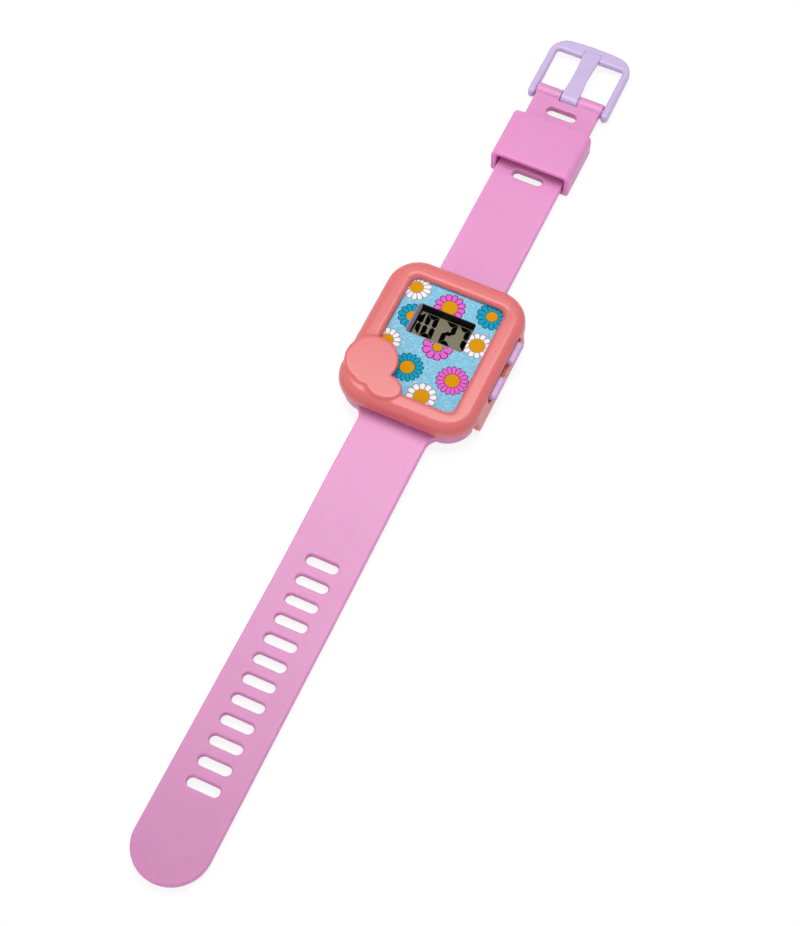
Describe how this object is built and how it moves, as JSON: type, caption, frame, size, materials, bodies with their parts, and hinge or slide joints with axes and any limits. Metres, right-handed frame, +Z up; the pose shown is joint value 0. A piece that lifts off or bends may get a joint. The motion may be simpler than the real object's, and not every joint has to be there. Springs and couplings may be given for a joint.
{
  "type": "toy digital watch",
  "caption": "Child's digital watch with a soft one-piece strap and case, a clip-on face cover with a raised applique, side buttons, a sliding keeper and a pin buckle.",
  "frame": {"origin": "middle of the back plate's underside, where the case rests on the table", "axes": "+Z up through the face, +Y along the strap towards the buckle, +X towards the side buttons"},
  "size_m": [0.033, 0.222, 0.0092],
  "materials": {
    "soft_pink": "satin",
    "back_pink": "satin",
    "coral": "satin gloss",
    "button_lilac": "satin",
    "buckle_lilac": "satin",
    "dark_plastic": "matte",
    "printed_card": "printed satin",
    "display_glass": "gloss",
    "silver_film": "satin",
    "conductive_rubber": "matte",
    "board_green": "satin",
    "epoxy": "gloss",
    "steel": "satin"
  },
  "bodies": {
    "case": {"strap_and_case": "soft_pink", "module_housing": "dark_plastic", "face_card": "printed_card", "display_panel": "display_glass", "display_reflector": "silver_film", "zebra_strip_upper": "conductive_rubber", "zebra_strip_lower": "conductive_rubber", "circuit_board": "board_green", "chip": "epoxy", "crystal": "steel", "battery": "steel", "battery_clip": "steel", "battery_spring": "steel", "contact_tab_upper": "steel", "contact_tab_lower": "steel", "back_plate": "back_pink", "back_screw_1": "steel", "back_screw_2": "steel", "back_screw_3": "steel", "back_screw_4": "steel"},
    "cover": {"cover": "coral"},
    "button_upper": {"button_upper": "button_lilac", "contact_pill_upper": "conductive_rubber"},
    "button_lower": {"button_lower": "button_lilac", "contact_pill_lower": "conductive_rubber"},
    "buckle_frame": {"buckle_frame": "buckle_lilac", "buckle_pin": "steel"},
    "buckle_tongue": {"buckle_tongue": "buckle_lilac"},
    "keeper": {"keeper": "soft_pink"}
  },
  "joints": [
    {"name": "cover_tip_off", "type": "hinge", "parent": "case", "child": "cover", "pos_m": [0.0161, 0, 0.0009], "axis": [0, 1, 0], "range_deg": [0, 70]},
    {"name": "button_upper_press", "type": "slide", "parent": "case", "child": "button_upper", "axis": [-1, 0, 0], "range_m": [0, 0.0008], "stiffness_N_per_m": 500},
    {"name": "button_lower_press", "type": "slide", "parent": "case", "child": "button_lower", "axis": [-1, 0, 0], "range_m": [0, 0.0008], "stiffness_N_per_m": 500},
    {"name": "buckle_swing", "type": "hinge", "parent": "case", "child": "buckle_frame", "pos_m": [0, 0.077, 0.0024], "axis": [1, 0, 0], "range_deg": [-45, 55]},
    {"name": "tongue_swing", "type": "hinge", "parent": "buckle_frame", "child": "buckle_tongue", "pos_m": [0, 0.077, 0.0024], "axis": [1, 0, 0], "range_deg": [0, 40]},
    {"name": "keeper_slide", "type": "slide", "parent": "case", "child": "keeper", "axis": [0, 1, 0], "range_m": [-0.03, 0.006]}
  ]
}
